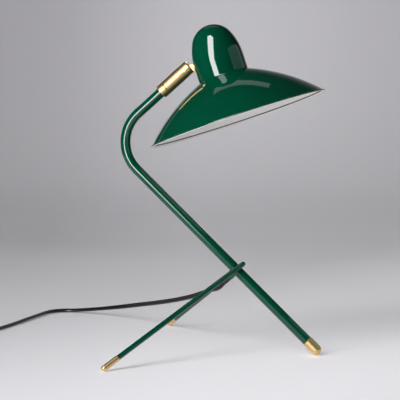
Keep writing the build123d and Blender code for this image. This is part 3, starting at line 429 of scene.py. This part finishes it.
# Roll of the flex in degrees at distances in millimetres: on its edge at the stub, flat on the table.
rolls = [(0, 80), (250, 80), (340, 30), (395, 30), (450, 0), (2000, 0)]
rings = []
travelled = 0.0
flex_builder = bmesh.new()
for index, spot in enumerate(cord_path):
    before = cord_path[max(index - 1, 0)]
    after = cord_path[min(index + 1, len(cord_path) - 1)]
    travelled += (spot - before).length
    tangent = (after - before).normalized()
    across = tangent.cross(Vector((0, 0, 1))).normalized()
    upward = across.cross(tangent)
    for (start, first), (end, last) in zip(rolls, rolls[1:]):
        if start * mm <= travelled <= end * mm:
            share = (travelled / mm - start) / (end - start)
            roll = math.radians(first + (last - first) * share * share * (3 - 2 * share))
    wide = across * math.cos(roll) + upward * math.sin(roll)
    thick = upward * math.cos(roll) - across * math.sin(roll)
    rings.append([flex_builder.verts.new(spot + wide * u + thick * v) for u, v in section])
for here, there in zip(rings, rings[1:]):
    for k in range(len(section)):
        j = (k + 1) % len(section)
        flex_builder.faces.new((here[k], here[j], there[j], there[k]))
flex_builder.faces.new(list(reversed(rings[0])))
flex_builder.faces.new(rings[-1])
for face in flex_builder.faces:
    face.smooth = len(face.verts) == 4
flex_mesh = bpy.data.meshes.new("mains_flex")
flex_builder.to_mesh(flex_mesh)
flex_builder.free()
mains_flex = bpy.data.objects.new("mains_flex", flex_mesh)
bpy.context.scene.collection.objects.link(mains_flex)

# Extruded black PVC: near black with a soft grey sheen and a faint fine grain.
black_pvc, shader = finish("extruded_black_pvc")
place = add(black_pvc, "ShaderNodeTexCoord", {}).outputs["Object"]
haze = add(black_pvc, "ShaderNodeTexNoise", {"Vector": place, "Scale": 1 / (6 * mm), "Detail": 4.0})
tone = add(black_pvc, "ShaderNodeMix", {"Factor": haze.outputs["Fac"]}, data_type="RGBA")
tone.inputs["A"].default_value = linear("#171619")
tone.inputs["B"].default_value = linear("#222024")
link(black_pvc, tone.outputs["Result"], shader.inputs["Base Color"])
polish = add(
    black_pvc,
    "ShaderNodeMapRange",
    {"Value": haze.outputs["Fac"], "To Min": 0.24, "To Max": 0.36},
)
link(black_pvc, polish.outputs["Result"], shader.inputs["Roughness"])
fine = add(black_pvc, "ShaderNodeTexNoise", {"Vector": place, "Scale": 1 / (0.9 * mm), "Detail": 2.0})
skin = add(
    black_pvc,
    "ShaderNodeBump",
    {"Height": fine.outputs["Fac"], "Strength": 0.1, "Distance": 0.05 * mm},
)
link(black_pvc, skin.outputs["Normal"], shader.inputs["Normal"])
flex_mesh.materials.append(black_pvc)
dress(black_pvc, "strain_relief", "tube_flex", "shade_flex")
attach(mains_flex, "base")
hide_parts("cord_lead", "cord_link", "cord_coil", "cord_tail")


# Tie on the coil: woven strap sewn into a flat loop round the turns, lying across one side of the
# coil. Its sizes are in millimetres.
strap_width = 8.0
strap_gap = 0.35
strap_middle = (coil_outer + coil_inner) / 2 - coil_pitch / 4
strap_half = (coil_outer - coil_inner) / 2 + coil_pitch / 4 + cord_width / 2 + strap_gap
strap_top = coil_high + core_diameter / 2 + strap_gap
strap_corner = 2.0
corner_points = 7
strap_turn = math.radians(45)
strap_way = Vector((math.cos(strap_turn), math.sin(strap_turn), 0))
strap_side = Vector((-strap_way.y, strap_way.x, 0))
strap_builder = bmesh.new()
loops = []
for edge in (-1, 1):
    for skin_out in (0.0, strap_thickness):
        loop = []
        for quarter, (u, v) in enumerate(((1, 1), (-1, 1), (-1, -1), (1, -1))):
            for k in range(corner_points):
                angle = math.radians(90 * quarter + 90 * k / (corner_points - 1))
                reach = strap_corner + skin_out
                across = strap_middle + u * (strap_half - strap_corner) + reach * math.cos(angle)
                level = (strap_top - strap_corner) if v > 0 else (strap_thickness + strap_corner)
                level += reach * math.sin(angle)
                spot = Vector((*coil_middle, level)) + strap_way * across
                spot += strap_side * (edge * strap_width / 2)
                loop.append(strap_builder.verts.new(spot * mm))
        loops.append(loop)
inner_near, outer_near, inner_far, outer_far = loops
count = len(inner_near)
for k in range(count):
    j = (k + 1) % count
    strap_builder.faces.new((outer_near[k], outer_far[k], outer_far[j], outer_near[j]))
    strap_builder.faces.new((inner_near[k], inner_near[j], inner_far[j], inner_far[k]))
    strap_builder.faces.new((outer_near[k], outer_near[j], inner_near[j], inner_near[k]))
    strap_builder.faces.new((outer_far[k], inner_far[k], inner_far[j], outer_far[j]))
bmesh.ops.recalc_face_normals(strap_builder, faces=strap_builder.faces)
strap_mesh = bpy.data.meshes.new("coil_strap")
strap_builder.to_mesh(strap_mesh)
strap_builder.free()
coil_strap = bpy.data.objects.new("coil_strap", strap_mesh)
bpy.context.scene.collection.objects.link(coil_strap)

# Woven polyester strap: dull black with a plain weave. The threads are drawn 0.7 to 1 mm apart,
# coarser than real ones, so that they show. A band of the wave, 0.314 over its scale, is two threads.
thread_gap = 0.7 * mm
weave_scale = 0.314 / (2 * thread_gap)
strap_weave, shader = finish("woven_polyester_strap")
place = add(strap_weave, "ShaderNodeTexCoord", {}).outputs["Object"]
threads = {"Vector": place, "Scale": weave_scale}
warp = add(strap_weave, "ShaderNodeTexWave", threads, bands_direction="Z")
weft = add(strap_weave, "ShaderNodeTexWave", threads, bands_direction="DIAGONAL")
cross = add(
    strap_weave,
    "ShaderNodeMath",
    {0: warp.outputs["Fac"], 1: weft.outputs["Fac"]},
    operation="MULTIPLY",
)
tone = add(strap_weave, "ShaderNodeMix", {"Factor": cross.outputs["Value"]}, data_type="RGBA")
tone.inputs["A"].default_value = linear("#141414")
tone.inputs["B"].default_value = linear("#2B2B2C")
link(strap_weave, tone.outputs["Result"], shader.inputs["Base Color"])
skin = add(
    strap_weave,
    "ShaderNodeBump",
    {"Height": cross.outputs["Value"], "Strength": 0.6, "Distance": 0.2 * mm},
)
link(strap_weave, skin.outputs["Normal"], shader.inputs["Normal"])
shader.inputs["Roughness"].default_value = 0.85
strap_mesh.materials.append(strap_weave)
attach(coil_strap, "base")
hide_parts("coil_tie")


# Cord switch and plug: moulded black half shells with a rocker, and a moulded flat plug with two
# round nickel plated pins.
# Moulded black ABS: deep black, satin, with an even spark-eroded grain.
black_abs, shader = finish("moulded_black_abs")
place = add(black_abs, "ShaderNodeTexCoord", {}).outputs["Object"]
grain = add(black_abs, "ShaderNodeTexNoise", {"Vector": place, "Scale": 1 / (0.5 * mm), "Detail": 2.0})
tone = add(black_abs, "ShaderNodeMix", {"Factor": grain.outputs["Fac"]}, data_type="RGBA")
tone.inputs["A"].default_value = linear("#161616")
tone.inputs["B"].default_value = linear("#202021")
link(black_abs, tone.outputs["Result"], shader.inputs["Base Color"])
polish = add(
    black_abs,
    "ShaderNodeMapRange",
    {"Value": grain.outputs["Fac"], "To Min": 0.36, "To Max": 0.5},
)
link(black_abs, polish.outputs["Result"], shader.inputs["Roughness"])
skin = add(
    black_abs,
    "ShaderNodeBump",
    {"Height": grain.outputs["Fac"], "Strength": 0.25, "Distance": 0.06 * mm},
)
link(black_abs, skin.outputs["Normal"], shader.inputs["Normal"])
dress(black_abs, "switch_base", "switch_cover", "switch_rocker", "plug_body")

# Nickel plate: bright, slightly warm white metal with fine scratches from use.
nickel_plate, shader = finish("nickel_plated_brass")
place = add(nickel_plate, "ShaderNodeTexCoord", {}).outputs["Object"]
marks = add(nickel_plate, "ShaderNodeTexNoise", {"Vector": place, "Scale": 1 / (0.8 * mm), "Detail": 3.0})
polish = add(
    nickel_plate,
    "ShaderNodeMapRange",
    {"Value": marks.outputs["Fac"], "To Min": 0.12, "To Max": 0.28},
)
link(nickel_plate, polish.outputs["Result"], shader.inputs["Roughness"])
shader.inputs["Base Color"].default_value = linear("#D8D4CC")
shader.inputs["Metallic"].default_value = 1.0
dress(nickel_plate, "plug_pins")


# Studio: a paper sweep that runs from under the lamp up behind it, plain floor and wall beyond it, a
# tall soft box at the left of the camera, weak lights over, beside and under the lamp and on the
# wall, and three cards that show only as reflections.
floor_level = -0.0006
bend_start = 1.1
bend_radius = 0.7
bend_steps = 12
wall_place = 1.8
sweep_line = [(y, floor_level) for y in (-3.0, -1.5, 0.0, bend_start)]
for k in range(1, bend_steps + 1):
    angle = math.radians(90 * k / bend_steps)
    sweep_line.append(
        (bend_start + bend_radius * math.sin(angle), bend_radius - bend_radius * math.cos(angle))
    )
sweep_line += [(wall_place, 1.3), (wall_place, 1.9)]


def paper_sheet(name, columns, line):
    """Sheet of paper that follows the line, given as y and z, between the outer columns."""
    builder = bmesh.new()
    rows = [[builder.verts.new((x, y, z)) for x in columns] for y, z in line]
    for low, high in zip(rows, rows[1:]):
        for k in range(len(columns) - 1):
            builder.faces.new((low[k], low[k + 1], high[k + 1], high[k]))
    for face in builder.faces:
        face.smooth = True
    mesh = bpy.data.meshes.new(name)
    builder.to_mesh(mesh)
    builder.free()
    sheet = bpy.data.objects.new(name, mesh)
    bpy.context.scene.collection.objects.link(sheet)
    return sheet


paper_left = -1.06
paper_right = 0.9
side_reach = 2.2
room_reach = 12.0
wall_gap = 0.004
room_floor = -0.001
floor_line = sweep_line[:4]
wall_line = [(y + wall_gap, z - wall_gap) for y, z in sweep_line[3:]]
room_line = [(-room_reach, room_floor), (room_reach, room_floor)]
paper_sweep = paper_sheet("paper_sweep", (paper_left, -0.4, 0.25, paper_right), sweep_line)
side_floor = paper_sheet("side_floor", (paper_right, side_reach), floor_line)
studio_wall = paper_sheet("studio_wall", (-room_reach, room_reach), wall_line)
studio_floor = paper_sheet("studio_floor", (-room_reach, room_reach), room_line)
for beyond in (studio_wall, studio_floor):
    beyond.visible_glossy = False
studio_wall.visible_diffuse = False

# Matt background paper, flat and with no shine. Its colour is painted shade: nearly white on the
# floor, greyer up the wall, darker where it bends up, dark high on the wall. It is clear from the
# back, so that the wall hides nothing when the lamp is seen from behind.
sweep_paper, shader = finish("matt_background_paper")
place = add(sweep_paper, "ShaderNodeTexCoord", {}).outputs["Object"]
spot = add(sweep_paper, "ShaderNodeSeparateXYZ", {"Vector": place})
back = add(sweep_paper, "ShaderNodeMath", {0: spot.outputs["Y"], 1: wall_place}, operation="MINIMUM")
along = add(sweep_paper, "ShaderNodeMath", {0: back.outputs["Value"], 1: spot.outputs["Z"]})
travel = add(sweep_paper, "ShaderNodeMapRange", {"Value": along.outputs["Value"], "From Max": 4.0})
painted_shade_ramp = add(sweep_paper, "ShaderNodeValToRGB", {"Fac": travel.outputs["Result"]})
painted_shade_tones = (
    (0.29, "#DCDADF"),
    (0.345, "#D3D1D6"),
    (0.4, "#D6D4D9"),
    (0.62, "#CBC9CE"),
    (0.75, "#858487"),
    (0.85, "#39393B"),
)
stops = painted_shade_ramp.color_ramp.elements
stops[0].position = 0.2
stops[0].color = linear("#E8E6EB")
stops[1].position = 0.95
stops[1].color = linear("#202022")
for position, colour in painted_shade_tones:
    stops.new(position).color = linear(colour)

# The floor under the soft box is shown darker than the box lights it.
rays = add(sweep_paper, "ShaderNodeLightPath", {})
shown = add(
    sweep_paper,
    "ShaderNodeMath",
    {0: rays.outputs["Is Camera Ray"], 1: rays.outputs["Is Glossy Ray"]},
)
shown = add(
    sweep_paper,
    "ShaderNodeMath",
    {0: shown.outputs["Value"], 1: rays.outputs["Is Transmission Ray"]},
    use_clamp=True,
)
shown = shown.outputs["Value"]
under_box = add(
    sweep_paper,
    "ShaderNodeVectorMath",
    {0: place, 1: (-0.85, -1.3, 0.0)},
    operation="DISTANCE",
)
dim = add(
    sweep_paper,
    "ShaderNodeMapRange",
    {"Value": under_box.outputs["Value"], "From Min": 0.3, "From Max": 1.2, "To Min": 0.85, "To Max": 0.0},
)
dimmed = add(sweep_paper, "ShaderNodeMath", {0: dim.outputs["Result"], 1: shown}, operation="MULTIPLY")
tone = add(sweep_paper, "ShaderNodeMix", {"Factor": dimmed.outputs["Value"]}, data_type="RGBA")
link(sweep_paper, painted_shade_ramp.outputs["Color"], tone.inputs["A"])
tone.inputs["B"].default_value = linear("#39393B")
link(sweep_paper, tone.outputs["Result"], shader.inputs["Base Color"])

# Painted light on the background: it glows for camera and gloss rays, more to the right, in front
# and far out, and none high on the wall.
nearer = add(
    sweep_paper,
    "ShaderNodeVectorMath",
    {0: place, 1: (-2.5, 1.0, 0.0)},
    operation="DOT_PRODUCT",
)
front = add(
    sweep_paper,
    "ShaderNodeMapRange",
    {"Value": nearer.outputs["Value"], "From Min": 0.9, "From Max": -0.6, "To Max": 0.2},
)
aside = add(
    sweep_paper,
    "ShaderNodeVectorMath",
    {0: place, 1: (1.0, 0.238, 0.0)},
    operation="DOT_PRODUCT",
)
middle = add(
    sweep_paper,
    "ShaderNodeMapRange",
    {"Value": aside.outputs["Value"], "From Min": -0.4, "From Max": -0.05, "To Min": 0.095, "To Max": 0.19},
)
lower = add(
    sweep_paper,
    "ShaderNodeMapRange",
    {"Value": along.outputs["Value"], "From Min": 1.1, "From Max": 1.5, "To Min": 1.0, "To Max": 0.62},
)
level = add(sweep_paper, "ShaderNodeVectorMath", {0: place, 1: (1.0, 1.0, 0.0)}, operation="MULTIPLY")
reach = add(sweep_paper, "ShaderNodeVectorMath", {0: level.outputs["Vector"]}, operation="LENGTH")
far = add(
    sweep_paper,
    "ShaderNodeMapRange",
    {"Value": reach.outputs["Value"], "From Min": 2.5, "From Max": 5.0, "To Max": 0.4},
)
under_top = add(
    sweep_paper,
    "ShaderNodeMapRange",
    {"Value": spot.outputs["Z"], "From Min": 0.6, "From Max": 0.85, "To Min": 1.0, "To Max": 0.0},
)
painted_light_glow = add(
    sweep_paper,
    "ShaderNodeMath",
    {0: middle.outputs["Result"], 1: lower.outputs["Result"], 2: front.outputs["Result"]},
    operation="MULTIPLY_ADD",
)
painted_light_glow = add(sweep_paper, "ShaderNodeMath", {0: painted_light_glow.outputs["Value"], 1: far.outputs["Result"]})
for factor in (under_top.outputs["Result"], shown):
    painted_light_glow = add(sweep_paper, "ShaderNodeMath", {0: painted_light_glow.outputs["Value"], 1: factor}, operation="MULTIPLY")
link(sweep_paper, painted_light_glow.outputs["Value"], shader.inputs["Emission Strength"])
shader.inputs["Emission Color"].default_value = linear("#FBFAFD")
shader.inputs["Roughness"].default_value = 0.9
shader.inputs["Specular IOR Level"].default_value = 0.2
behind = add(sweep_paper, "ShaderNodeNewGeometry", {}).outputs["Backfacing"]
clear = add(sweep_paper, "ShaderNodeBsdfTransparent", {})
one_sided = add(
    sweep_paper,
    "ShaderNodeMixShader",
    {0: behind, 1: shader.outputs["BSDF"], 2: clear.outputs["BSDF"]},
)
surface = sweep_paper.node_tree.nodes["Material Output"].inputs["Surface"]
link(sweep_paper, one_sided.outputs["Shader"], surface)
for sheet in (paper_sweep, side_floor, studio_wall, studio_floor):
    sheet.data.materials.append(sweep_paper)


def facing(place, way):
    """Placement that looks along a direction, level from side to side."""
    return Matrix.Translation(place) @ way.to_track_quat("-Z", "Y").to_matrix().to_4x4()


def soft_light(name, middle, aim, size, radiance, lights=True, mirrored=False, spread=180, tint="#FFFFFF"):
    """Rectangular area light of a given radiance, which lights the object, shows in gloss, or both."""
    width, height = size
    lamp = bpy.data.lights.new(name, "AREA")
    lamp.shape = "RECTANGLE"
    lamp.size = width
    lamp.size_y = height
    lamp.spread = math.radians(spread)
    lamp.color = linear(tint)[:3]
    lamp.energy = radiance * math.pi * width * height
    holder = bpy.data.objects.new(name, lamp)
    holder.matrix_world = facing(middle, (Vector(aim) - Vector(middle)).normalized())
    holder.visible_camera = False
    holder.visible_diffuse = lights
    holder.visible_glossy = mirrored
    bpy.context.scene.collection.objects.link(holder)


soft_light("left_soft_box", (-1.05, -1.57, 1.15), (0.0, 0.0, 0.38), (0.85, 2.1), 7.4)
soft_light(
    "soft_box_face",
    (-0.599, -1.858, 1.108),
    (-0.041, -0.156, 0.224),
    (0.85, 2.7),
    15.0,
    lights=False,
    mirrored=True,
)
soft_light("top_soft_light", (0.0, -1.1, 2.3), (0.0, 0.0, 0.3), (1.8, 1.2), 0.7)
soft_light("left_soft_light", (-2.3, -0.5, 0.9), (0.0, 0.0, 0.3), (1.2, 1.2), 1.2)
soft_light("floor_bounce", (0.1, -0.45, 0.004), (0.1, -0.45, 1.0), (1.4, 0.8), 0.55)
soft_light("wall_light", (-0.4, 0.9, 1.6), (-0.35, 1.78, 0.45), (0.4, 0.4), 0.7, spread=50)
soft_light(
    "right_card",
    (1.6, 0.6, 1.05),
    (0.0, 0.6, 1.05),
    (2.8, 1.1),
    0.56,
    lights=False,
    mirrored=True,
    tint="#C6FFF0",
)
soft_light(
    "top_card",
    (-0.55, 1.05, 2.0),
    (-0.55, 1.0501, 0.0),
    (1.15, 0.3),
    0.55,
    lights=False,
    mirrored=True,
)

world = bpy.data.worlds.new("dim_studio")
bpy.context.scene.world = world
world.use_nodes = True
sky = world.node_tree.nodes["Background"]
sky.inputs["Color"].default_value = linear("#FFFFFF")
sky.inputs["Strength"].default_value = 0.012

camera_place = (0.34418, -1.55897, 0.32645)
camera_way = Vector((-0.2308, 0.9695, -0.0821))
lens = bpy.data.cameras.new("studio_camera")
lens.sensor_width = 36.0
lens.lens = 112.5
lens.clip_end = 20.0
camera = bpy.data.objects.new("studio_camera", lens)
camera.matrix_world = facing(camera_place, camera_way)
bpy.context.scene.collection.objects.link(camera)
bpy.context.scene.camera = camera
bpy.context.scene.view_settings.view_transform = "Standard"
